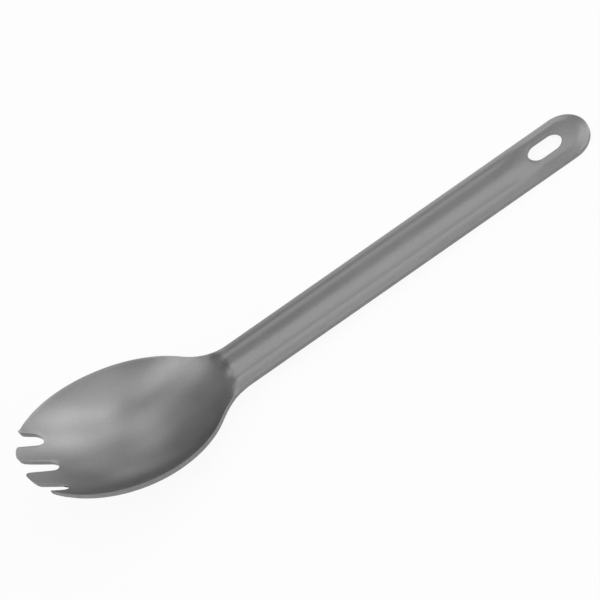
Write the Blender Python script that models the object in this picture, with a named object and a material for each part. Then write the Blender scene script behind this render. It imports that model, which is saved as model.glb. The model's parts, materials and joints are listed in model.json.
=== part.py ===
"""One-piece spork: a titanium sheet blanked to a four-tined outline and pressed to a bowl and a ribbed handle.

The part is drawn in its press: X runs from the tines to the handle's end, Y across, Z up, with the middle
of the bowl at X 0 and the flat land of the handle at Z 0. The finished piece is then laid down on its
bowl and its handle's end, with the middle of its footprint at the origin.
"""
import math

import bmesh
import bpy
from mathutils import Matrix, Vector

MM = 0.001

# Sheet
SHEET = 1.15 * MM

# Outline of the blank, seen from above
BOWL_LENGTH = 53.4 * MM
BOWL_WIDTH = 39.7 * MM
HANDLE_WIDTH = 14.2 * MM
HANDLE_LENGTH = 106.3 * MM
NECK_FLARE = 5.6 * MM
NECK_START_SHARE = 0.79

# Tines: three slots with round bottoms leave four tines
TINE_LENGTH = 6.9 * MM
SLOT_WIDTH = 3.2 * MM
SLOT_PITCH = 8.7 * MM
SLOT_FLARE = math.tan(math.radians(5.0))
TIP_TRIM = 1.1 * MM
TIP_ROUND = 1.5 * MM
OUTER_TIP_WIDTH = 0.9 * MM
OUTER_TIP_ROUND = 0.6 * MM
TIP_FULLNESS = 2.5

# Pressed form of the bowl
BOWL_DEPTH = 9.6 * MM
HOLLOW_REACH = 1.7 * MM
DEPTH_SKEW_SHARE = 0.4
DEPTH_PROFILE = 1.2
SECTION_PROFILE = 2.7
RIM_RISE = 16.0 * MM
RIM_START_SHARE = 0.84
RIM_LINEAR_SHARE = 0.74
RIM_BLEND = 3.0 * MM

# Pressed form of the handle: a rib on a flat land, inside a turned-down lip
LIP_WIDTH = 2.8 * MM
LIP_DROP = 0.75 * MM
LIP_PROFILE = 1.6
RIB_WIDTH = 6.5 * MM
RIB_HEIGHT = 0.26 * MM
RIB_PROFILE = 0.8

# The rib's nose in the neck, and its wide tail round the hang slot
NOSE_HEIGHT = 0.28 * MM
NOSE_LENGTH = 10.0 * MM
RIB_START = 5.0 * MM
TAIL_WIDTH = 11.0 * MM
TAIL_HEIGHT = 0.2 * MM
TAIL_WIDENING = 8.0 * MM
TAIL_PROFILE = 0.45
RIB_END = 1.2 * MM

# Stretch of the neck over which the bowl runs into the handle
PRESS_BLEND = 4.0 * MM
BLEND_END = 2.0 * MM

# Distance over which the slope of the pressed face is measured
SLOPE_STEP = 0.01 * MM

# Hang slot through the handle's end
HANG_LENGTH = 9.7 * MM
HANG_WIDTH = 5.7 * MM
HANG_WALL = 7.3 * MM

# Mesh: cells between the tine edges, from the axis outwards, and the spacing of the rows
SLOT_CELLS = 2
INNER_TINE_CELLS = 3
SIDE_SLOT_CELLS = 4
OUTER_TINE_CELLS = 4
TINE_ROWS = 4
END_ROWS = 5
HANG_ROWS = 3
BOWL_PITCH = 2.0 * MM
NECK_PITCH = 1.5 * MM
HANDLE_PITCH = 4.0 * MM
ROW_RELAX = 1.2 * MM

# Edges sharper than this stay sharp
CUT_ANGLE = math.radians(40.0)

# Titanium, blasted matt
TITANIUM_COLOUR = (0.3, 0.3, 0.3, 1.0)
TITANIUM_ROUGHNESS = 0.36
TITANIUM_METALLIC = 1.0

# Places that follow from the sizes
BOWL_HALF = BOWL_LENGTH / 2
BOWL_SIDE = BOWL_WIDTH / 2
HANDLE_SIDE = HANDLE_WIDTH / 2
NECK_START_X = NECK_START_SHARE * BOWL_HALF
NECK_END_X = BOWL_HALF + NECK_FLARE
HANDLE_END_X = NECK_END_X + HANDLE_LENGTH
END_CENTRE_X = HANDLE_END_X - HANDLE_SIDE
SLOT_SIDE = SLOT_WIDTH / 2
TIP_X = TIP_TRIM - BOWL_HALF
ROOT_X = TIP_X + TINE_LENGTH - SLOT_SIDE
HANG_SIDE = HANG_WIDTH / 2
HANG_RIGHT_X = HANDLE_END_X - HANG_WALL - HANG_SIDE
HANG_LEFT_X = HANG_RIGHT_X - (HANG_LENGTH - HANG_WIDTH)
RIM_START_X = RIM_START_SHARE * BOWL_HALF

COLUMN_1 = SLOT_CELLS
COLUMN_2 = COLUMN_1 + INNER_TINE_CELLS
COLUMN_3 = COLUMN_2 + SIDE_SLOT_CELLS
COLUMN_4 = COLUMN_3 + OUTER_TINE_CELLS


def clear_scene():
    """Remove whatever the file holds."""
    for old in list(bpy.data.objects):
        bpy.data.objects.remove(old, do_unlink=True)


def mix(a, b, share):
    """The value at a share of the way from a to b."""
    return a + (b - a) * share


def ease(share):
    """Smooth step from 0 to 1, level at both ends."""
    share = min(max(share, 0.0), 1.0)
    return share * share * (3.0 - 2.0 * share)


def bowl_half_width(x):
    """Half width of the bowl's ellipse."""
    return BOWL_SIDE * math.sqrt(max(0.0, 1.0 - (x / BOWL_HALF) ** 2))


def half_width(x):
    """Half width of the outline up to the round end of the handle."""
    if x <= NECK_START_X:
        return bowl_half_width(x)
    if x >= NECK_END_X:
        return HANDLE_SIDE
    start = bowl_half_width(NECK_START_X)
    slope = -(BOWL_SIDE / BOWL_HALF) ** 2 * NECK_START_X / start
    run = NECK_END_X - NECK_START_X
    t = (x - NECK_START_X) / run
    return (start * (2 * t ** 3 - 3 * t ** 2 + 1) + slope * run * (t ** 3 - 2 * t ** 2 + t)
            + HANDLE_SIDE * (3 * t ** 2 - 2 * t ** 3))


def bowl_height(x, y):
    """Inside of the bowl: a rim that climbs towards the tips, with a rounded hollow below it."""
    behind = RIM_START_X - x
    climb = (behind + math.hypot(behind, RIM_BLEND)) / 2
    share = climb / (RIM_START_X + BOWL_HALF)
    rim = RIM_RISE * mix(share * share, share, RIM_LINEAR_SHARE) - LIP_DROP
    reach = HOLLOW_REACH / 2
    along = min((x - reach) / (BOWL_HALF + reach), 1.0)
    hollow = BOWL_DEPTH * (1.0 - DEPTH_SKEW_SHARE * along) * (1.0 - along * along) ** DEPTH_PROFILE
    across = min(1.0, abs(y) / max(half_width(x), SHEET))
    return rim - hollow * (1.0 - across ** SECTION_PROFILE)


def handle_height(x, y):
    """Top of the handle: the flat land, the rib with its round noses and the lip along the outline."""
    past_end = max(0.0, x - END_CENTRE_X)
    inside = half_width(x) - abs(y)
    if past_end > 0.0:
        inside = HANDLE_SIDE - math.hypot(past_end, y)
    lip = LIP_DROP * max(0.0, 1.0 - inside / LIP_WIDTH) ** LIP_PROFILE
    nose = NECK_END_X - RIB_START + RIB_WIDTH / 2
    tail = HANDLE_END_X - RIB_END - TAIL_WIDTH / 2
    widened = ease(1.0 + (x - HANG_LEFT_X + HANG_SIDE) / TAIL_WIDENING)
    behind = min(max((x - nose) / NOSE_LENGTH, 0.0), 1.0)
    rib = RIB_HEIGHT + NOSE_HEIGHT * (1.0 - behind) ** 2 + TAIL_HEIGHT * widened
    away = math.hypot(max(nose - x, 0.0, x - tail), y) / (mix(RIB_WIDTH, TAIL_WIDTH, widened) / 2)
    wave = (1.0 + math.cos(math.pi * min(1.0, away))) / 2
    return rib * wave ** mix(RIB_PROFILE, TAIL_PROFILE, widened) - lip


def top_height(x, y):
    """Upper face of the whole piece: bowl and handle run into each other over the neck."""
    share = ease(1.0 + (x - NECK_END_X + BLEND_END) / PRESS_BLEND)
    if share <= 0.0:
        return bowl_height(x, y)
    if share >= 1.0:
        return handle_height(x, y)
    return mix(bowl_height(x, y), handle_height(x, y), share)


def depth_below(x, y):
    """How far below the upper face the underside lies: one sheet, measured square to the slope there."""
    along = math.copysign(SLOPE_STEP, x)
    across = math.copysign(SLOPE_STEP, y)
    height = top_height(x, y)
    fall_along = (height - top_height(x - along, y)) / SLOPE_STEP
    fall_across = (height - top_height(x, y - across)) / SLOPE_STEP
    return SHEET * math.hypot(1.0, fall_along, fall_across)


def column_shares():
    """Share of the half width at each column, from the axis to the outline, by the slots at the roots."""
    root = bowl_half_width(ROOT_X)
    edges = (0.0, SLOT_SIDE / root, (SLOT_PITCH - SLOT_SIDE) / root, (SLOT_PITCH + SLOT_SIDE) / root, 1.0)
    cells = (SLOT_CELLS, INNER_TINE_CELLS, SIDE_SLOT_CELLS, OUTER_TINE_CELLS)
    shares = [0.0]
    for low, high, count in zip(edges, edges[1:], cells):
        shares += [mix(low, high, k / count) for k in range(1, count + 1)]
    return shares


SHARES = column_shares()


def signed(column, value):
    """Value on the side that the column is on."""
    return math.copysign(value, column) if column else 0.0


def cross_row(x):
    """Straight row of points across the blank at x."""
    return {j: (x, signed(j, SHARES[abs(j)] * half_width(x))) for j in range(-COLUMN_4, COLUMN_4 + 1)}


def root_row():
    """Row at the tine roots, which follows the round bottom of each slot."""
    row = cross_row(ROOT_X)
    for j in range(-COLUMN_1, COLUMN_1 + 1):
        turn = math.pi * (j + COLUMN_1) / (2 * COLUMN_1)
        row[j] = (ROOT_X + SLOT_SIDE * math.sin(turn), -SLOT_SIDE * math.cos(turn))
    for j in range(COLUMN_2, COLUMN_3 + 1):
        turn = math.pi * (j - COLUMN_2) / SIDE_SLOT_CELLS
        x = ROOT_X + SLOT_SIDE * math.sin(turn)
        y = SLOT_PITCH - SLOT_SIDE * math.cos(turn)
        row[j] = (x, y)
        row[-j] = (x, -y)
    return row


def hang_row(x, bulge):
    """Row beside the hang slot: bulge -1 or 1 follows its left or right round end, 0 runs past its sides."""
    row = {}
    for j in range(-COLUMN_4, COLUMN_4 + 1):
        if abs(j) > COLUMN_2:
            out = (SHARES[abs(j)] - SHARES[COLUMN_2]) / (1.0 - SHARES[COLUMN_2])
            row[j] = (x, signed(j, mix(HANG_SIDE, HANDLE_SIDE, out)))
        elif abs(j) == COLUMN_2:
            row[j] = (x, signed(j, HANG_SIDE))
        elif bulge:
            turn = math.pi / 2 * j / COLUMN_2
            row[j] = (x + bulge * HANG_SIDE * math.cos(turn), HANG_SIDE * math.sin(turn))
    return row


def end_row():
    """Row along the half circle at the end of the handle."""
    row = {}
    for j in range(-COLUMN_4, COLUMN_4 + 1):
        turn = math.pi / 2 * j / COLUMN_4
        row[j] = (END_CENTRE_X + HANDLE_SIDE * math.cos(turn), HANDLE_SIDE * math.sin(turn))
    return row


def between(row, other, share):
    """Row that lies a share of the way from one row to another."""
    return {j: tuple(mix(a, b, share) for a, b in zip(row[j], other[j])) for j in row if j in other}


def steps(start, end, pitch):
    """Places from start to end, without the start, no further apart than the pitch."""
    count = max(1, math.ceil((end - start) / pitch))
    return [mix(start, end, k / count) for k in range(1, count + 1)]


def body_rows():
    """Rows from the tine roots to the end of the handle."""
    first_x = ROOT_X + SLOT_SIDE + ROW_RELAX
    last_x = HANG_LEFT_X - HANG_SIDE - ROW_RELAX
    rows = [root_row(), cross_row(first_x)]
    rows += [cross_row(x) for x in steps(first_x, NECK_START_X, BOWL_PITCH)]
    rows += [cross_row(x) for x in steps(NECK_START_X, NECK_END_X, NECK_PITCH)]
    rows += [cross_row(x) for x in steps(NECK_END_X, last_x, HANDLE_PITCH)]
    rows.append(hang_row(HANG_LEFT_X, -1))
    for k in range(1, HANG_ROWS):
        rows.append(hang_row(mix(HANG_LEFT_X, HANG_RIGHT_X, k / HANG_ROWS), 0))
    right = hang_row(HANG_RIGHT_X, 1)
    end = end_row()
    rows += [between(right, end, k / END_ROWS) for k in range(END_ROWS + 1)]
    return rows


def slot_half_width(x):
    """Half width of a slot, which opens towards the tips."""
    return SLOT_SIDE + SLOT_FLARE * (ROOT_X - x)


def inner_tine_sides(x):
    """Both sides of a tine next to the middle slot."""
    return slot_half_width(x), SLOT_PITCH - slot_half_width(x)


def outer_tine_sides(x):
    """Both sides of an outer tine: a slot's edge and the bowl's ellipse."""
    return SLOT_PITCH + slot_half_width(x), bowl_half_width(x)


def outer_shoulder():
    """Place where an outer tine is as narrow as its tip."""
    near, far = ROOT_X, -BOWL_HALF
    for _ in range(40):
        x = (near + far) / 2
        low, high = outer_tine_sides(x)
        if high - low > OUTER_TIP_WIDTH:
            near = x
        else:
            far = x
    return near


def tine_rows(sides, shoulder, reach, slant, cells):
    """Rows along a tine from its root to its rounded tip, each from the inner to the outer side."""
    rows = []
    for k in range(1, TINE_ROWS + 1):
        x = mix(ROOT_X, shoulder + reach / 2, k / TINE_ROWS)
        low, high = sides(x)
        rows.append([(x, mix(low, high, i / cells)) for i in range(cells + 1)])
    low, high = sides(shoulder)
    middle = (low + high) / 2
    half = (high - low) / 2
    tip = []
    for i in range(cells + 1):
        turn = math.pi * (i / cells - 0.5)
        out = math.copysign(abs(math.sin(turn)) ** (2 / TIP_FULLNESS), turn) if turn else 0.0
        far = abs(math.cos(turn)) ** (2 / TIP_FULLNESS)
        tip.append((shoulder - reach * far + slant * half * out * far, middle + half * out))
    rows.append(tip)
    return rows


def press_blank():
    """Upper face of the piece: the blank's cells, each corner lifted to the pressed height."""
    mesh = bmesh.new()

    def corner(place):
        x, y = place
        return mesh.verts.new((x, y, top_height(x, y)))

    def fill(row, other, columns):
        for j in columns:
            ring = [part.get(k) for part, k in ((row, j), (other, j), (other, j + 1), (row, j + 1))]
            if None not in ring:
                mesh.faces.new(ring)

    rows = [{j: corner(place) for j, place in row.items()} for row in body_rows()]
    hang_start = next(k for k, row in enumerate(rows) if 0 not in row) - 1
    for k, (row, other) in enumerate(zip(rows, rows[1:])):
        inside = range(-COLUMN_2, COLUMN_2) if hang_start <= k < hang_start + HANG_ROWS else ()
        fill(row, other, [j for j in range(-COLUMN_4, COLUMN_4) if j not in inside])

    inner_slant = (BOWL_HALF / BOWL_SIDE) ** 2 * (SLOT_PITCH / 2) / BOWL_HALF
    tines = ((inner_tine_sides, TIP_X + TIP_ROUND, TIP_ROUND, inner_slant, COLUMN_1, COLUMN_2),
             (outer_tine_sides, outer_shoulder(), OUTER_TIP_ROUND, 0.0, COLUMN_3, COLUMN_4))
    for sides, shoulder, reach, slant, low, high in tines:
        drawn = tine_rows(sides, shoulder, reach, slant, high - low)
        for side in (-1, 1):
            base = {j: rows[0][side * j] for j in range(low, high + 1)}
            for line in drawn:
                tier = {low + i: corner((x, side * y)) for i, (x, y) in enumerate(line)}
                fill(base, tier, range(low, high))
                base = tier
    bmesh.ops.recalc_face_normals(mesh, faces=mesh.faces)
    mesh.faces.ensure_lookup_table()
    if mesh.faces[0].normal.z < 0.0:
        bmesh.ops.reverse_faces(mesh, faces=mesh.faces)
    return mesh


def titanium():
    """Matt grey titanium."""
    material = bpy.data.materials.new("titanium")
    material.use_nodes = True
    shader = material.node_tree.nodes["Principled BSDF"]
    shader.inputs["Base Color"].default_value = TITANIUM_COLOUR
    shader.inputs["Roughness"].default_value = TITANIUM_ROUGHNESS
    shader.inputs["Metallic"].default_value = TITANIUM_METALLIC
    return material


def back_face(mesh):
    """Close the piece with its underside: the sheet is trimmed square to the blank, so each corner of
    the underside lies straight below one of the upper face."""
    depth = {(vertex.co.x, vertex.co.y): depth_below(vertex.co.x, vertex.co.y) for vertex in mesh.verts}
    grown = bmesh.ops.extrude_face_region(mesh, geom=mesh.faces[:])["geom"]
    for vertex in grown:
        if isinstance(vertex, bmesh.types.BMVert):
            vertex.co.z -= depth[vertex.co.x, vertex.co.y]
    bmesh.ops.recalc_face_normals(mesh, faces=mesh.faces)


def lay_down(spork):
    """Turn the piece about Y until bowl and handle end rest at one height, and centre its footprint."""
    points = [vertex.co.copy() for vertex in spork.data.vertices]
    tilt = 0.0
    for _ in range(12):
        turn = Matrix.Rotation(tilt, 3, "Y")
        turned = [turn @ point for point in points]
        bowl = min((p for p, q in zip(turned, points) if q.x < NECK_END_X), key=lambda p: p.z)
        end = min((p for p, q in zip(turned, points) if q.x > NECK_END_X), key=lambda p: p.z)
        tilt += math.atan2(end.z - bowl.z, end.x - bowl.x)
    turn = Matrix.Rotation(tilt, 3, "Y")
    turned = [turn @ point for point in points]
    low = Vector([min(p[axis] for p in turned) for axis in range(3)])
    high = Vector([max(p[axis] for p in turned) for axis in range(3)])
    spork.rotation_euler = (0.0, tilt, 0.0)
    spork.location = (-(low.x + high.x) / 2, -(low.y + high.y) / 2, -low.z)


def build_spork():
    """The one solid: the pressed face and its underside, a sheet's thickness below."""
    pressed = press_blank()
    back_face(pressed)
    data = bpy.data.meshes.new("spork")
    pressed.to_mesh(data)
    pressed.free()
    data.shade_smooth()
    data.set_sharp_from_angle(angle=CUT_ANGLE)
    data.materials.append(titanium())
    spork = bpy.data.objects.new("spork", data)
    bpy.context.scene.collection.objects.link(spork)
    lay_down(spork)


clear_scene()
build_spork()
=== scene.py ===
"""Looks of the one-piece titanium spork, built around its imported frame.

The spork operator presses the same blank as the frame's solid, with fine cells and tumbled edges, gives it
its blasted titanium finish and lays it where the frame's node lies. The stage operator adds a pale floor,
soft lights and the camera. Lengths are metres and +Z is up.
"""

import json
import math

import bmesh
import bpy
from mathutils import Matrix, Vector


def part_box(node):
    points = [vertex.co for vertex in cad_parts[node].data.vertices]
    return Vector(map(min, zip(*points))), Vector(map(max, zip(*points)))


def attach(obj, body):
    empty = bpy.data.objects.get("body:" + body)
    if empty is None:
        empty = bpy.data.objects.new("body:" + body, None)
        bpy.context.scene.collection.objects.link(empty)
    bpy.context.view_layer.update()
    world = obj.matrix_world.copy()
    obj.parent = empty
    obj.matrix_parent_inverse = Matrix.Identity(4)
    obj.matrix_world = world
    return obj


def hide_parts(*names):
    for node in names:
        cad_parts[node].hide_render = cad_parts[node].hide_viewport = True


bl_info = {
    "name": "Titanium Spork",
    "version": (1, 0, 0),
    "blender": (4, 5, 0),
    "location": "3D View > Sidebar > Spork",
    "description": "Presses a one-piece titanium spork and lights it on a pale studio floor",
    "category": "Add Mesh",
}

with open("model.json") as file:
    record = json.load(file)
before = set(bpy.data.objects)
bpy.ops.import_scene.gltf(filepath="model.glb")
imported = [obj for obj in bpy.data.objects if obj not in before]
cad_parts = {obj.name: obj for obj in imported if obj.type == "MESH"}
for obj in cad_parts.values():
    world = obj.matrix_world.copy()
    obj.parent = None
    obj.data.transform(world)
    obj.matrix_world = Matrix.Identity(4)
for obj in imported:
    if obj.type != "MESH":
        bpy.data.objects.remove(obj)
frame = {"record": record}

MM = 0.001
NODE = "spork"
BODY = "root"

# Cells of the fine mesh between the tine edges, from the axis outwards, and the spacing of its rows
SLOT_CELLS = 5
INNER_TINE_CELLS = 8
SIDE_SLOT_CELLS = 8
OUTER_TINE_CELLS = 6
TINE_ROWS = 10
END_ROWS = 14
HANG_ROWS = 6
BOWL_PITCH = 0.8 * MM
NECK_PITCH = 0.6 * MM
HANDLE_PITCH = 1.5 * MM
ROW_RELAX = 0.8 * MM
EDGE_SEGMENTS = 3

# How far before its shoulder a tine's straight rows stop, as a share of the tip's length
STOP_SHARE = 0.25
# Rows between the last straight row of an inner tine and its tip, as shares of the way
TIP_ROW_SHARES = (0.4, 0.75)
# Halvings of the stretch in which an outer tine's shoulder is sought
SHOULDER_HALVINGS = 40
# Distance over which the slope of the pressed face is measured
SLOPE_STEP = 0.01 * MM
# A face whose normal rises by less than this share stands upright and belongs to the cuts
UPRIGHT_SHARE = 0.1
# What the normal of a corner's steepest face lacks of rising straight up where the painted shade of the cut
# walls sets in, and over what further range that painted shade grows to its full strength
CUT_SHADE_START = 0.3
CUT_SHADE_RANGE = 0.4

# Range that most of Blender's noise lies in, and how finely each pattern is broken up
NOISE_LOW = 0.3
NOISE_HIGH = 0.7
PIT_DETAIL = 2.0
SPECKLE_DETAIL = 1.0
CLOUD_DETAIL = 3.0
PATCH_DETAIL = 2.0
# Size of the speckle's lumps as a multiple of the pits' size
SPECKLE_FACTOR = 1.6
# How far speckle and clouds shade the colour up and down, and how far clouds change the roughness
SPECKLE_SHADE = 0.05
CLOUD_SHADE = 0.03
ROUGHNESS_SPREAD = 0.03
# Size of the patches that break up the painted shade along the cuts, and the least part of the cut's darker
# colour, a painted shade, that shows in them
PATCH_SIZE = 1.5 * MM
LEAST_CUT_SHADE = 0.55
FLOOR_ROUGHNESS = 0.9
# Millimetres, as Blender's cameras count it
SENSOR_WIDTH = 36.0

# Square softboxes that face the spork: sides and distances in metres
LARGE_SOFTBOX = 1.3
SMALL_SOFTBOX = 0.6
SOFTBOX_DISTANCE = 1.2
OVERHEAD_SOFTBOX = 0.2
OVERHEAD_DISTANCE = 0.35
# Name, turn from +X and height in degrees, and brightness, where 1 is that of a white surface
LARGE_SOFTBOXES = (
    ("end_window", 0, 40, 0.8),
    ("front_window", 300, 40, 0.8),
    ("tine_window", 180, 40, 0.9),
    ("back_window", 60, 40, 0.3),
)
SMALL_SOFTBOXES = (
    ("top_softbox", 90, 65, 0.8),
    ("tine_softbox", 225, 65, 1.0),
    ("end_front_softbox", 340, 20, 1.0),
    ("end_back_softbox", 20, 20, 1.0),
    ("low_back_softbox", 80, 5, 1.0),
)
OVERHEAD_SOFTBOXES = (
    ("overhead_softbox", 0, 85, 0.4),
)

COLUMN_1 = SLOT_CELLS
COLUMN_2 = COLUMN_1 + INNER_TINE_CELLS
COLUMN_3 = COLUMN_2 + SIDE_SLOT_CELLS
COLUMN_4 = COLUMN_3 + OUTER_TINE_CELLS


def length(name, millimetres, description):
    """A size of the spork, given in millimetres."""
    return bpy.props.FloatProperty(name=name, description=description, default=millimetres * MM,
                                   min=0.0, unit="LENGTH", precision=5)


def share(name, default, description):
    """A share of another size, or a number without a unit."""
    return bpy.props.FloatProperty(name=name, description=description, default=default, min=0.0, precision=3)


def turn(name, degrees, description):
    """An angle, given in degrees."""
    return bpy.props.FloatProperty(name=name, description=description, default=math.radians(degrees),
                                   unit="ROTATION", subtype="ANGLE")


def grey(name, value, description):
    """A neutral colour."""
    return bpy.props.FloatVectorProperty(name=name, description=description, subtype="COLOR", size=4,
                                         default=(value, value, value, 1.0), min=0.0, max=1.0)


class SporkBlank(bpy.types.PropertyGroup):
    """Outline of the sheet that the spork is pressed from."""
    sheet: length("Sheet", 1.15, "Thickness of the titanium sheet")
    bowl_length: length("Bowl length", 53.4, "Length of the bowl's ellipse")
    bowl_width: length("Bowl width", 39.7, "Width of the bowl's ellipse")
    handle_width: length("Handle width", 14.2, "Width of the handle")
    handle_length: length("Handle length", 106.3, "From the neck to the handle's end")
    neck_flare: length("Neck flare", 5.6, "How far the neck runs on past the bowl's ellipse")
    neck_start: share("Neck start", 0.79, "Where the neck leaves the ellipse, as a share of half its length")
    tine_length: length("Tine length", 6.9, "Depth of the slots between the tines")
    slot_width: length("Slot width", 3.2, "Width of a slot at its root")
    slot_pitch: length("Slot pitch", 8.7, "From one slot to the next")
    slot_flare: turn("Slot flare", 5.0, "How far each side of a slot opens towards the tips")
    tip_trim: length("Tip trim", 1.1, "What the tips lack of the ellipse's length")
    tip_round: length("Tip round", 1.5, "Length of the round end of an inner tine")
    outer_tip_width: length("Outer tip width", 0.9, "Width of an outer tine at its tip")
    outer_tip_round: length("Outer tip round", 0.6, "Length of the round end of an outer tine")
    tip_fullness: share("Tip fullness", 2.5, "2 is a round tip, and more is squarer")
    hang_length: length("Hang slot length", 9.7, "Length of the slot in the handle's end")
    hang_width: length("Hang slot width", 5.7, "Width of the slot in the handle's end")
    hang_wall: length("Hang slot wall", 7.3, "Metal between the hang slot and the handle's end")
    edge_round: length("Edge round", 0.1, "Radius that tumbling leaves on every cut edge")


class SporkPress(bpy.types.PropertyGroup):
    """Pressed form of the bowl and the handle."""
    bowl_depth: length("Bowl depth", 9.6, "Depth of the hollow below its rim")
    depth_profile: share("Depth profile", 1.2, "How the hollow's depth falls off along the bowl")
    hollow_reach: length("Hollow reach", 1.7, "How far the hollow runs on into the neck")
    depth_skew: share("Depth skew", 0.4, "How much deeper the hollow is towards the tines")
    section_profile: share("Section profile", 2.7, "2 is a parabola across the bowl, and more is flatter")
    rim_rise: length("Rim rise", 16.0, "How far the rim climbs from the neck to the tips")
    rim_start: share("Rim start", 0.84, "Where the rim starts to climb, as a share of half the bowl")
    rim_linear: share("Rim straightness", 0.74, "1 is a straight rim, and less is a hollow one")
    rim_blend: length("Rim blend", 3.0, "Length over which the climb sets in")
    lip_width: length("Lip width", 2.8, "Width of the turned-down lip along the handle")
    lip_drop: length("Lip drop", 0.75, "How far the lip is turned down")
    lip_profile: share("Lip profile", 1.6, "How sharply the lip turns down")
    rib_width: length("Rib width", 6.5, "Width of the rib along the handle")
    rib_height: length("Rib height", 0.26, "Height of the rib above the flat land")
    rib_profile: share("Rib profile", 0.8, "1 is an even wave across the rib, and less is a flatter top")
    nose_height: length("Nose height", 0.28, "What the rib's nose adds to its height")
    nose_length: length("Nose length", 10.0, "Length over which the nose runs out into the rib")
    rib_start: length("Rib start", 5.0, "How far the rib reaches into the neck")
    tail_width: length("Tail width", 11.0, "Width of the rib where it goes round the hang slot")
    tail_height: length("Tail height", 0.2, "What the rib's tail adds to its height")
    tail_widening: length("Tail widening", 8.0, "Length over which the rib widens before the hang slot")
    tail_profile: share("Tail profile", 0.45, "1 is an even wave across the tail, and less is a flatter top")
    rib_end: length("Rib end", 1.2, "From the rib's tail to the handle's end")
    press_blend: length("Press blend", 4.0, "Length over which the bowl runs into the handle")
    blend_end: length("Blend end", 2.0, "How far that stretch ends before the handle")


class SporkFinish(bpy.types.PropertyGroup):
    """Blasted titanium."""
    face: grey("Face", 0.3, "Colour of the blasted faces")
    # The cut edge's darker colour is painted shade of the upright cut walls, not a colour the metal has.
    cut: grey("Cut edge", 0.22, "Colour of the sheared edges, which tumbling leaves darker")
    roughness: share("Roughness", 0.36, "Roughness of the blasted faces")
    edge_roughness: share("Edge roughness", 0.4, "Roughness of the tumbled cut edges")
    grain: length("Grain", 0.22, "Size of the blasting's pits")
    pit_depth: length("Pit depth", 0.012, "Depth of the blasting's pits")
    cloud: length("Cloud", 9.0, "Size of the faint patches left by blasting")


class SporkStage(bpy.types.PropertyGroup):
    """Floor, lights and camera."""
    floor_width: length("Floor width", 4000.0, "Side of the square floor")
    floor: grey("Floor", 0.8, "Colour of the floor under the lights")
    floor_white: share("Floor white", 0.92, "Share of plain white that the camera sees in the floor")
    surroundings: grey("Surroundings", 0.26, "Colour of the room around the object")
    room_level: share("Room level", 1.0, "Strength of the surroundings' light")
    light_level: share("Light level", 1.0, "Multiplies the power of all lamps")
    view_turn: turn("View turn", -3.479, "How far the view is turned from straight along +Y")
    view_height: turn("View height", 50.345, "How far the view looks down")
    view_roll: turn("View roll", 38.69, "How far the camera is rolled")
    view_distance: length("View distance", 698.3, "From the camera to the point it looks at")
    view_aim_x: length("View aim along", -2.61, "Point on the floor that the camera looks at")
    view_aim_y: length("View aim across", 8.54, "Point on the floor that the camera looks at")
    lens: bpy.props.FloatProperty(name="Lens", description="Focal length for a 36 mm wide sensor",
                                  default=164.7, min=1.0, unit="CAMERA")


def mix(a, b, part):
    """The value at a share of the way from a to b."""
    return a + (b - a) * part


def ease(part):
    """Smooth step from 0 to 1, level at both ends."""
    part = min(max(part, 0.0), 1.0)
    return part * part * (3.0 - 2.0 * part)


def steps(start, end, pitch):
    """Places from start to end, without the start, no further apart than the pitch."""
    count = max(1, math.ceil((end - start) / pitch))
    return [mix(start, end, k / count) for k in range(1, count + 1)]


def between(place, other, part):
    """The place at a share of the way from one place to another."""
    return tuple(mix(a, b, part) for a, b in zip(place, other))


def signed(column, value):
    """Value on the side that the column is on."""
    return math.copysign(value, column) if column else 0.0


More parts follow.
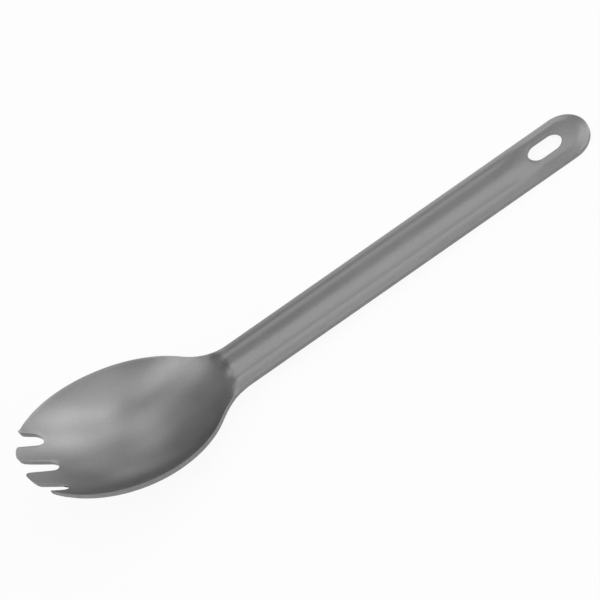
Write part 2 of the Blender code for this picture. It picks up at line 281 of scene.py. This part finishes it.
class Form:
    """Outline and pressed heights of the spork in its press: X runs from the tines to the handle's end,
    with the middle of the bowl at 0, and Z is 0 on the handle's flat land."""

    def __init__(self, blank, press):
        self.blank = blank
        self.press = press
        self.bowl_half = blank.bowl_length / 2
        self.bowl_side = blank.bowl_width / 2
        self.handle_side = blank.handle_width / 2
        self.slot_side = blank.slot_width / 2
        self.hang_side = blank.hang_width / 2
        self.neck_start_x = blank.neck_start * self.bowl_half
        self.neck_end_x = self.bowl_half + blank.neck_flare
        self.handle_end_x = self.neck_end_x + blank.handle_length
        self.end_centre_x = self.handle_end_x - self.handle_side
        self.tip_x = blank.tip_trim - self.bowl_half
        self.root_x = self.tip_x + blank.tine_length - self.slot_side
        self.hang_right_x = self.handle_end_x - blank.hang_wall - self.hang_side
        self.hang_left_x = self.hang_right_x - (blank.hang_length - blank.hang_width)
        self.rim_start_x = press.rim_start * self.bowl_half
        self.shares = self.column_shares()

    def bowl_half_width(self, x):
        """Half width of the bowl's ellipse."""
        return self.bowl_side * math.sqrt(max(0.0, 1.0 - (x / self.bowl_half) ** 2))

    def half_width(self, x):
        """Half width of the outline up to the round end of the handle."""
        if x <= self.neck_start_x:
            return self.bowl_half_width(x)
        if x >= self.neck_end_x:
            return self.handle_side
        start = self.bowl_half_width(self.neck_start_x)
        slope = -(self.bowl_side / self.bowl_half) ** 2 * self.neck_start_x / start
        run = self.neck_end_x - self.neck_start_x
        t = (x - self.neck_start_x) / run
        return (start * (2 * t ** 3 - 3 * t ** 2 + 1) + slope * run * (t ** 3 - 2 * t ** 2 + t)
                + self.handle_side * (3 * t ** 2 - 2 * t ** 3))

    def bowl_height(self, x, y):
        """Inside of the bowl: a rim that climbs towards the tips, with a rounded hollow below it."""
        press = self.press
        behind = self.rim_start_x - x
        climb = (behind + math.hypot(behind, press.rim_blend)) / 2
        part = climb / (self.rim_start_x + self.bowl_half)
        rim = press.rim_rise * mix(part * part, part, press.rim_linear) - press.lip_drop
        reach = press.hollow_reach / 2
        along = min((x - reach) / (self.bowl_half + reach), 1.0)
        profile = (1.0 - along * along) ** press.depth_profile
        hollow = press.bowl_depth * (1.0 - press.depth_skew * along) * profile
        across = min(1.0, abs(y) / max(self.half_width(x), self.blank.sheet))
        return rim - hollow * (1.0 - across ** press.section_profile)

    def handle_height(self, x, y):
        """Top of the handle: the flat land, the rib with its round noses and the lip along the outline."""
        press = self.press
        past_end = max(0.0, x - self.end_centre_x)
        inside = self.half_width(x) - abs(y)
        if past_end > 0.0:
            inside = self.handle_side - math.hypot(past_end, y)
        lip = press.lip_drop * max(0.0, 1.0 - inside / press.lip_width) ** press.lip_profile
        nose = self.neck_end_x - press.rib_start + press.rib_width / 2
        tail = self.handle_end_x - press.rib_end - press.tail_width / 2
        widened = ease(1.0 + (x - self.hang_left_x + self.hang_side) / press.tail_widening)
        behind = min(max((x - nose) / press.nose_length, 0.0), 1.0)
        rib = press.rib_height + press.nose_height * (1.0 - behind) ** 2 + press.tail_height * widened
        side = mix(press.rib_width, press.tail_width, widened) / 2
        away = math.hypot(max(nose - x, 0.0, x - tail), y) / side
        wave = (1.0 + math.cos(math.pi * min(1.0, away))) / 2
        return rib * wave ** mix(press.rib_profile, press.tail_profile, widened) - lip

    def top_height(self, x, y):
        """Upper face of the whole piece: bowl and handle run into each other over the neck."""
        part = ease(1.0 + (x - self.neck_end_x + self.press.blend_end) / self.press.press_blend)
        if part <= 0.0:
            return self.bowl_height(x, y)
        if part >= 1.0:
            return self.handle_height(x, y)
        return mix(self.bowl_height(x, y), self.handle_height(x, y), part)

    def depth_below(self, x, y):
        """How far below the upper face the underside lies: one sheet, measured square to the slope there."""
        along = math.copysign(SLOPE_STEP, x)
        across = math.copysign(SLOPE_STEP, y)
        height = self.top_height(x, y)
        fall_along = (height - self.top_height(x - along, y)) / SLOPE_STEP
        fall_across = (height - self.top_height(x, y - across)) / SLOPE_STEP
        return self.blank.sheet * math.hypot(1.0, fall_along, fall_across)

    def column_shares(self):
        """Share of the half width at each column, by the slots at the roots."""
        root = self.bowl_half_width(self.root_x)
        near = self.blank.slot_pitch - self.slot_side
        far = self.blank.slot_pitch + self.slot_side
        edges = (0.0, self.slot_side / root, near / root, far / root, 1.0)
        cells = (SLOT_CELLS, INNER_TINE_CELLS, SIDE_SLOT_CELLS, OUTER_TINE_CELLS)
        shares = [0.0]
        for low, high, count in zip(edges, edges[1:], cells):
            shares += [mix(low, high, k / count) for k in range(1, count + 1)]
        return shares

    def cross_row(self, x):
        """Straight row of points across the blank at x."""
        width = self.half_width(x)
        return {j: (x, signed(j, self.shares[abs(j)] * width)) for j in range(-COLUMN_4, COLUMN_4 + 1)}

    def root_row(self):
        """Row at the tine roots, which follows the round bottom of each slot."""
        row = self.cross_row(self.root_x)
        for j in range(-COLUMN_1, COLUMN_1 + 1):
            angle = math.pi * (j + COLUMN_1) / (2 * COLUMN_1)
            row[j] = (self.root_x + self.slot_side * math.sin(angle), -self.slot_side * math.cos(angle))
        for j in range(COLUMN_2, COLUMN_3 + 1):
            angle = math.pi * (j - COLUMN_2) / SIDE_SLOT_CELLS
            x = self.root_x + self.slot_side * math.sin(angle)
            y = self.blank.slot_pitch - self.slot_side * math.cos(angle)
            row[j] = (x, y)
            row[-j] = (x, -y)
        return row

    def hang_row(self, x, bulge):
        """Row beside the hang slot: bulge -1 or 1 follows its left or right round end, 0 its sides."""
        row = {}
        for j in range(-COLUMN_4, COLUMN_4 + 1):
            if abs(j) > COLUMN_2:
                out = (self.shares[abs(j)] - self.shares[COLUMN_2]) / (1.0 - self.shares[COLUMN_2])
                row[j] = (x, signed(j, mix(self.hang_side, self.handle_side, out)))
            elif abs(j) == COLUMN_2:
                row[j] = (x, signed(j, self.hang_side))
            elif bulge:
                angle = math.pi / 2 * j / COLUMN_2
                row[j] = (x + bulge * self.hang_side * math.cos(angle), self.hang_side * math.sin(angle))
        return row

    def end_row(self):
        """Row along the half circle at the end of the handle."""
        row = {}
        for j in range(-COLUMN_4, COLUMN_4 + 1):
            angle = math.pi / 2 * j / COLUMN_4
            x = self.end_centre_x + self.handle_side * math.cos(angle)
            row[j] = (x, self.handle_side * math.sin(angle))
        return row

    def body_rows(self):
        """Rows from the tine roots to the end of the handle."""
        first_x = self.root_x + self.slot_side + ROW_RELAX
        last_x = self.hang_left_x - self.hang_side - ROW_RELAX
        rows = [self.root_row(), self.cross_row(first_x)]
        rows += [self.cross_row(x) for x in steps(first_x, self.neck_start_x, BOWL_PITCH)]
        rows += [self.cross_row(x) for x in steps(self.neck_start_x, self.neck_end_x, NECK_PITCH)]
        rows += [self.cross_row(x) for x in steps(self.neck_end_x, last_x, HANDLE_PITCH)]
        rows.append(self.hang_row(self.hang_left_x, -1))
        for k in range(1, HANG_ROWS):
            rows.append(self.hang_row(mix(self.hang_left_x, self.hang_right_x, k / HANG_ROWS), 0))
        right = self.hang_row(self.hang_right_x, 1)
        end = self.end_row()
        for k in range(END_ROWS + 1):
            rows.append({j: between(right[j], end[j], k / END_ROWS) for j in end})
        return rows

    def slot_half_width(self, x):
        """Half width of a slot, which opens towards the tips."""
        return self.slot_side + math.tan(self.blank.slot_flare) * (self.root_x - x)

    def inner_tine_sides(self, x):
        """Both sides of a tine next to the middle slot."""
        return self.slot_half_width(x), self.blank.slot_pitch - self.slot_half_width(x)

    def outer_tine_sides(self, x):
        """Both sides of an outer tine: a slot's edge and the bowl's ellipse."""
        return self.blank.slot_pitch + self.slot_half_width(x), self.bowl_half_width(x)

    def outer_shoulder(self):
        """Place where an outer tine is as narrow as its tip."""
        near, far = self.root_x, -self.bowl_half
        for _ in range(SHOULDER_HALVINGS):
            x = (near + far) / 2
            low, high = self.outer_tine_sides(x)
            if high - low > self.blank.outer_tip_width:
                near = x
            else:
                far = x
        return near

    def tine_rows(self, sides, shoulder, reach, slant, cells, tip_row_shares):
        """Rows along a tine from its root to its rounded tip, each from the inner to the outer side."""
        rows = []
        for k in range(1, TINE_ROWS + 1):
            x = mix(self.root_x, shoulder + STOP_SHARE * reach, k / TINE_ROWS)
            low, high = sides(x)
            rows.append([(x, mix(low, high, i / cells)) for i in range(cells + 1)])
        low, high = sides(shoulder)
        middle = (low + high) / 2
        half = (high - low) / 2
        tip = []
        for i in range(cells + 1):
            angle = math.pi * (i / cells - 0.5)
            power = 2 / self.blank.tip_fullness
            out = math.copysign(abs(math.sin(angle)) ** power, angle) if angle else 0.0
            far = abs(math.cos(angle)) ** power
            tip.append((shoulder - reach * far + slant * half * out * far, middle + half * out))
        last = rows[-1]
        rows += [[between(place, other, part) for place, other in zip(last, tip)] for part in tip_row_shares]
        return rows + [tip]

    def tines(self):
        """Rows and columns of an inner and an outer tine."""
        blank = self.blank
        slant = (self.bowl_half / self.bowl_side) ** 2 * (blank.slot_pitch / 2) / self.bowl_half
        inner = self.tine_rows(self.inner_tine_sides, self.tip_x + blank.tip_round, blank.tip_round, slant,
                               INNER_TINE_CELLS, TIP_ROW_SHARES)
        outer = self.tine_rows(self.outer_tine_sides, self.outer_shoulder(), blank.outer_tip_round, 0.0,
                               OUTER_TINE_CELLS, ())
        return (inner, COLUMN_1, COLUMN_2), (outer, COLUMN_3, COLUMN_4)


def press_face(form):
    """Upper face of the spork: the blank's cells, each corner lifted to the pressed height."""
    mesh = bmesh.new()

    def corner(place):
        x, y = place
        return mesh.verts.new((x, y, form.top_height(x, y)))

    def fill(row, other, columns):
        for j in columns:
            ring = [part.get(k) for part, k in ((row, j), (other, j), (other, j + 1), (row, j + 1))]
            if None not in ring:
                mesh.faces.new(ring)

    rows = [{j: corner(place) for j, place in row.items()} for row in form.body_rows()]
    hang_start = next(k for k, row in enumerate(rows) if 0 not in row) - 1
    for k, (row, other) in enumerate(zip(rows, rows[1:])):
        inside = range(-COLUMN_2, COLUMN_2) if hang_start <= k < hang_start + HANG_ROWS else ()
        fill(row, other, [j for j in range(-COLUMN_4, COLUMN_4) if j not in inside])
    for drawn, low, high in form.tines():
        for side in (-1, 1):
            base = {j: rows[0][side * j] for j in range(low, high + 1)}
            for line in drawn:
                tier = {low + i: corner((x, side * y)) for i, (x, y) in enumerate(line)}
                fill(base, tier, range(low, high))
                base = tier
    bmesh.ops.recalc_face_normals(mesh, faces=mesh.faces)
    mesh.faces.ensure_lookup_table()
    if mesh.faces[0].normal.z < 0.0:
        bmesh.ops.reverse_faces(mesh, faces=mesh.faces)
    return mesh


def close_sheet(mesh, form):
    """Add the underside, straight below the upper face, and the cut faces between them."""
    depth = {(vertex.co.x, vertex.co.y): form.depth_below(vertex.co.x, vertex.co.y) for vertex in mesh.verts}
    grown = bmesh.ops.extrude_face_region(mesh, geom=mesh.faces[:])["geom"]
    for vertex in grown:
        if isinstance(vertex, bmesh.types.BMVert):
            vertex.co.z -= depth[vertex.co.x, vertex.co.y]
    bmesh.ops.recalc_face_normals(mesh, faces=mesh.faces)


def is_cut(face):
    """Whether a face belongs to the sheet's cut side, which stands upright."""
    return abs(face.normal.z) < UPRIGHT_SHARE


def tumble_edges(mesh, radius):
    """Round both edges of every cut."""
    mesh.normal_update()
    rim = [edge for edge in mesh.edges
           if len(edge.link_faces) == 2 and is_cut(edge.link_faces[0]) != is_cut(edge.link_faces[1])]
    bmesh.ops.bevel(mesh, geom=rim, offset=radius, offset_type="OFFSET", segments=EDGE_SEGMENTS,
                    profile=0.5, affect="EDGES", clamp_overlap=False)


def mark_cut_shade(mesh):
    """Store how far each corner takes the painted shade of the cut walls: 1 on the cuts and their edges, 0 on
    the pressed faces.
    """
    mesh.normal_update()
    cut_shade = mesh.verts.layers.float.new("cut_shade")
    for vertex in mesh.verts:
        steep = 1.0 - min(abs(face.normal.z) for face in vertex.link_faces)
        vertex[cut_shade] = ease((steep - CUT_SHADE_START) / CUT_SHADE_RANGE)


def lie_down(mesh):
    """Turn the pressed mesh as the frame's handle lies, and bring its box onto that of the frame's node."""
    land = next(mount for mount in frame["record"]["mounts"] if mount["name"] == "handle_land")
    tilt = math.atan2(land["axis"][0], land["axis"][2])
    mesh.transform(Matrix.Rotation(tilt, 4, "Y"))
    low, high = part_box(NODE)
    own_low = Vector([min(vertex.co[axis] for vertex in mesh.vertices) for axis in range(3)])
    own_high = Vector([max(vertex.co[axis] for vertex in mesh.vertices) for axis in range(3)])
    shift = (low + high - own_low - own_high) / 2
    shift.z = low.z - own_low.z
    mesh.transform(Matrix.Translation(shift))


def socket(tree, name, way, kind):
    """Add a named input or output to a node group."""
    tree.interface.new_socket(name=name, in_out=way, socket_type=kind)


def noise(tree, place, size, factor, detail):
    """Noise at a place, whose lumps measure a size times a factor."""
    per_metre = tree.nodes.new("ShaderNodeMath")
    per_metre.operation = "DIVIDE"
    per_metre.inputs[0].default_value = 1.0 / factor
    tree.links.new(size, per_metre.inputs[1])
    texture = tree.nodes.new("ShaderNodeTexNoise")
    texture.inputs["Detail"].default_value = detail
    tree.links.new(place, texture.inputs["Vector"])
    tree.links.new(per_metre.outputs[0], texture.inputs["Scale"])
    return texture.outputs["Fac"]


def spread(tree, value, low, high):
    """Noise spread out so that it runs from low to high."""
    span = tree.nodes.new("ShaderNodeMapRange")
    span.inputs["From Min"].default_value = NOISE_LOW
    span.inputs["From Max"].default_value = NOISE_HIGH
    span.inputs["To Min"].default_value = low
    span.inputs["To Max"].default_value = high
    tree.links.new(value, span.inputs["Value"])
    return span.outputs["Result"]


def blasted_grain():
    """Node group: pits and faint patches of a blasted metal face."""
    tree = bpy.data.node_groups.new("blasted_grain", "ShaderNodeTree")
    socket(tree, "Position", "INPUT", "NodeSocketVector")
    socket(tree, "Grain Size", "INPUT", "NodeSocketFloat")
    socket(tree, "Cloud Size", "INPUT", "NodeSocketFloat")
    socket(tree, "Height", "OUTPUT", "NodeSocketFloat")
    socket(tree, "Speckle", "OUTPUT", "NodeSocketFloat")
    socket(tree, "Clouds", "OUTPUT", "NodeSocketFloat")
    given = tree.nodes.new("NodeGroupInput")
    out = tree.nodes.new("NodeGroupOutput")
    place, grain, cloud = (given.outputs[name] for name in ("Position", "Grain Size", "Cloud Size"))
    tree.links.new(noise(tree, place, grain, 1.0, PIT_DETAIL), out.inputs["Height"])
    tree.links.new(noise(tree, place, grain, SPECKLE_FACTOR, SPECKLE_DETAIL), out.inputs["Speckle"])
    tree.links.new(noise(tree, place, cloud, 1.0, CLOUD_DETAIL), out.inputs["Clouds"])
    return tree


def cut_shade_mask():
    """Node group: mask of the painted shade on the cut walls and their rounded edges, broken up by noise."""
    tree = bpy.data.node_groups.new("cut_shade_mask", "ShaderNodeTree")
    socket(tree, "Position", "INPUT", "NodeSocketVector")
    socket(tree, "Steepness", "INPUT", "NodeSocketFloat")
    socket(tree, "Patch Size", "INPUT", "NodeSocketFloat")
    socket(tree, "Mask", "OUTPUT", "NodeSocketFloat")
    given = tree.nodes.new("NodeGroupInput")
    out = tree.nodes.new("NodeGroupOutput")
    patches = noise(tree, given.outputs["Position"], given.outputs["Patch Size"], 1.0, PATCH_DETAIL)
    mask = tree.nodes.new("ShaderNodeMath")
    mask.operation = "MULTIPLY"
    mask.use_clamp = True
    tree.links.new(spread(tree, patches, LEAST_CUT_SHADE, 1.0), mask.inputs[0])
    tree.links.new(given.outputs["Steepness"], mask.inputs[1])
    tree.links.new(mask.outputs[0], out.inputs["Mask"])
    return tree


def titanium(name, finish, roughness, pit_depth, grain_group, cut_shade_group):
    """Titanium with a blasted grain, faint patches and cut edges darkened by painted shade."""
    material = bpy.data.materials.new(name)
    material.use_nodes = True
    tree = material.node_tree
    nodes, links = tree.nodes, tree.links
    shader = nodes["Principled BSDF"]
    shader.inputs["Metallic"].default_value = 1.0
    place = nodes.new("ShaderNodeTexCoord")
    steepness = nodes.new("ShaderNodeAttribute")
    steepness.attribute_name = "cut_shade"
    grain = nodes.new("ShaderNodeGroup")
    grain.node_tree = grain_group
    grain.inputs["Grain Size"].default_value = finish.grain
    grain.inputs["Cloud Size"].default_value = finish.cloud
    links.new(place.outputs["Object"], grain.inputs["Position"])
    cut_shade = nodes.new("ShaderNodeGroup")
    cut_shade.node_tree = cut_shade_group
    cut_shade.inputs["Patch Size"].default_value = PATCH_SIZE
    links.new(place.outputs["Object"], cut_shade.inputs["Position"])
    links.new(steepness.outputs["Fac"], cut_shade.inputs["Steepness"])

    def shaded(shade, value):
        """Node that makes its first input lighter or darker by up to a shade, as a value runs up and down."""
        scaled = nodes.new("ShaderNodeVectorMath")
        scaled.operation = "SCALE"
        links.new(spread(tree, value, 1.0 - shade, 1.0 + shade), scaled.inputs["Scale"])
        return scaled

    clouded = shaded(CLOUD_SHADE, grain.outputs["Clouds"])
    clouded.inputs[0].default_value = finish.face[:3]
    speckled = shaded(SPECKLE_SHADE, grain.outputs["Speckle"])
    links.new(clouded.outputs["Vector"], speckled.inputs[0])
    # Painted shade: the cut faces and their rounded edges take the darker cut colour where the mask is 1.
    cut_shaded = nodes.new("ShaderNodeMix")
    cut_shaded.data_type = "RGBA"
    cut_shaded.inputs["B"].default_value = finish.cut
    links.new(cut_shade.outputs["Mask"], cut_shaded.inputs["Factor"])
    links.new(speckled.outputs["Vector"], cut_shaded.inputs["A"])
    links.new(cut_shaded.outputs["Result"], shader.inputs["Base Color"])
    least, most = roughness - ROUGHNESS_SPREAD, roughness + ROUGHNESS_SPREAD
    links.new(spread(tree, grain.outputs["Clouds"], least, most), shader.inputs["Roughness"])
    bump = nodes.new("ShaderNodeBump")
    bump.inputs["Distance"].default_value = pit_depth
    links.new(grain.outputs["Height"], bump.inputs["Height"])
    links.new(bump.outputs["Normal"], shader.inputs["Normal"])
    return material


class SPORK_OT_press(bpy.types.Operator):
    """Press the spork, finish it in blasted titanium and lay it in its frame"""
    bl_idname = "spork.press"
    bl_label = "Press Spork"

    def execute(self, context):
        scene = context.scene
        form = Form(scene.spork_blank, scene.spork_press)
        pressed = press_face(form)
        close_sheet(pressed, form)
        tumble_edges(pressed, form.blank.edge_round)
        mark_cut_shade(pressed)
        for face in pressed.faces:
            face.material_index = int(is_cut(face))
        data = bpy.data.meshes.new("titanium_spork")
        pressed.to_mesh(data)
        pressed.free()
        data.shade_smooth()
        lie_down(data)
        finish = scene.spork_finish
        groups = blasted_grain(), cut_shade_mask()
        # The second material dresses the cut faces, whose darker colour is painted shade; their higher
        # roughness is the tumbled finish.
        for name, roughness, pit_depth in (("blasted_titanium", finish.roughness, finish.pit_depth),
                                           ("shaded_tumbled_edge", finish.edge_roughness, finish.pit_depth / 2)):
            data.materials.append(titanium(name, finish, roughness, pit_depth, *groups))
        spork = bpy.data.objects.new("titanium_spork", data)
        scene.collection.objects.link(spork)
        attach(spork, BODY)
        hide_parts(NODE)
        return {"FINISHED"}


def lay_floor(scene, stage):
    """Pale floor under the spork, which the camera sees as nearly plain white."""
    low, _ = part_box(NODE)
    side = stage.floor_width / 2
    data = bpy.data.meshes.new("floor")
    corners = [(x, y, low.z) for x, y in ((-side, -side), (side, -side), (side, side), (-side, side))]
    data.from_pydata(corners, [], [(0, 1, 2, 3)])
    floor = bpy.data.objects.new("floor", data)
    scene.collection.objects.link(floor)
    material = bpy.data.materials.new("pale_floor")
    material.use_nodes = True
    nodes, links = material.node_tree.nodes, material.node_tree.links
    shader = nodes["Principled BSDF"]
    shader.inputs["Base Color"].default_value = stage.floor
    shader.inputs["Roughness"].default_value = FLOOR_ROUGHNESS
    shader.inputs["Specular IOR Level"].default_value = 0.0
    white = nodes.new("ShaderNodeEmission")
    path = nodes.new("ShaderNodeLightPath")
    mixed = nodes.new("ShaderNodeMixShader")
    part = nodes.new("ShaderNodeMath")
    part.operation = "MULTIPLY"
    part.inputs[1].default_value = stage.floor_white
    seen = path.outputs["Is Camera Ray"]
    for other in ("Is Glossy Ray", "Is Transmission Ray"):
        either = nodes.new("ShaderNodeMath")
        either.operation = "MAXIMUM"
        links.new(seen, either.inputs[0])
        links.new(path.outputs[other], either.inputs[1])
        seen = either.outputs[0]
    links.new(seen, part.inputs[0])
    links.new(part.outputs[0], mixed.inputs[0])
    links.new(shader.outputs[0], mixed.inputs[1])
    links.new(white.outputs[0], mixed.inputs[2])
    links.new(mixed.outputs[0], nodes["Material Output"].inputs["Surface"])
    data.materials.append(material)


def hang_softbox(scene, name, around, height, distance, side, brightness):
    """One square lamp that faces the spork, as bright as a white surface times its brightness."""
    around, height = math.radians(around), math.radians(height)
    across = math.cos(height)
    away = Vector((math.cos(around) * across, math.sin(around) * across, math.sin(height)))
    lamp = bpy.data.lights.new(name, "AREA")
    lamp.shape = "SQUARE"
    lamp.size = side
    lamp.energy = brightness * math.pi * side ** 2
    softbox = bpy.data.objects.new(name, lamp)
    turned = away.to_track_quat("Z", "Y").to_matrix().to_4x4()
    softbox.matrix_world = Matrix.Translation(away * distance) @ turned
    scene.collection.objects.link(softbox)


def hang_lights(scene, stage):
    """Soft square lamps around the spork and an even room."""
    kinds = (
        (LARGE_SOFTBOXES, LARGE_SOFTBOX, SOFTBOX_DISTANCE),
        (SMALL_SOFTBOXES, SMALL_SOFTBOX, SOFTBOX_DISTANCE),
        (OVERHEAD_SOFTBOXES, OVERHEAD_SOFTBOX, OVERHEAD_DISTANCE),
    )
    for softboxes, side, distance in kinds:
        for name, around, height, brightness in softboxes:
            hang_softbox(scene, name, around, height, distance, side, brightness * stage.light_level)
    world = bpy.data.worlds.new("studio")
    world.use_nodes = True
    room = world.node_tree.nodes["Background"]
    room.inputs["Color"].default_value = stage.surroundings
    room.inputs["Strength"].default_value = stage.room_level
    scene.world = world


def place_camera(scene, stage):
    """Camera at the photographed angle: turned, looking down and rolled about its own axis."""
    across = math.cos(stage.view_height)
    look = Vector((math.sin(stage.view_turn) * across, math.cos(stage.view_turn) * across,
                   -math.sin(stage.view_height)))
    level = Vector((look.y, -look.x, 0.0)).normalized()
    above = level.cross(look)
    right = math.cos(stage.view_roll) * level - math.sin(stage.view_roll) * above
    up = math.sin(stage.view_roll) * level + math.cos(stage.view_roll) * above
    aim = Vector((stage.view_aim_x, stage.view_aim_y, 0.0))
    data = bpy.data.cameras.new("camera")
    data.sensor_fit = "HORIZONTAL"
    data.sensor_width = SENSOR_WIDTH
    data.lens = stage.lens
    camera = bpy.data.objects.new("camera", data)
    turned = Matrix((right, up, -look)).transposed().to_4x4()
    camera.matrix_world = Matrix.Translation(aim - look * stage.view_distance) @ turned
    scene.collection.objects.link(camera)
    scene.camera = camera


class SPORK_OT_stage(bpy.types.Operator):
    """Lay the floor, hang the soft lights and place the camera"""
    bl_idname = "spork.stage"
    bl_label = "Set Stage"

    def execute(self, context):
        scene = context.scene
        stage = scene.spork_stage
        lay_floor(scene, stage)
        hang_lights(scene, stage)
        place_camera(scene, stage)
        scene.view_settings.view_transform = "Standard"
        return {"FINISHED"}


class SPORK_PT_panel(bpy.types.Panel):
    """Sizes, finish and stage of the spork"""
    bl_idname = "SPORK_PT_panel"
    bl_label = "Spork"
    bl_space_type = "VIEW_3D"
    bl_region_type = "UI"
    bl_category = "Spork"

    def draw(self, context):
        for operator in (SPORK_OT_press, SPORK_OT_stage):
            self.layout.operator(operator.bl_idname)
        for title, settings in (("Blank", context.scene.spork_blank), ("Press", context.scene.spork_press),
                                ("Finish", context.scene.spork_finish), ("Stage", context.scene.spork_stage)):
            box = self.layout.box()
            box.label(text=title)
            for name in settings.bl_rna.properties.keys():
                if name not in ("rna_type", "name"):
                    box.prop(settings, name)


GROUPS = {"spork_blank": SporkBlank, "spork_press": SporkPress, "spork_finish": SporkFinish,
          "spork_stage": SporkStage}
CLASSES = (*GROUPS.values(), SPORK_OT_press, SPORK_OT_stage, SPORK_PT_panel)


def register():
    for cls in CLASSES:
        bpy.utils.register_class(cls)
    for name, group in GROUPS.items():
        setattr(bpy.types.Scene, name, bpy.props.PointerProperty(type=group))


def unregister():
    for name in GROUPS:
        delattr(bpy.types.Scene, name)
    for cls in reversed(CLASSES):
        bpy.utils.unregister_class(cls)


def corners(box):
    """A box's lowest and highest corner as plain lists of numbers."""
    return [[float(value) for value in corner] for corner in box]


def main():
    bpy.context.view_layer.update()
    register()
    bpy.ops.spork.press()
    bpy.ops.spork.stage()


if __name__ == "__main__":
    main()
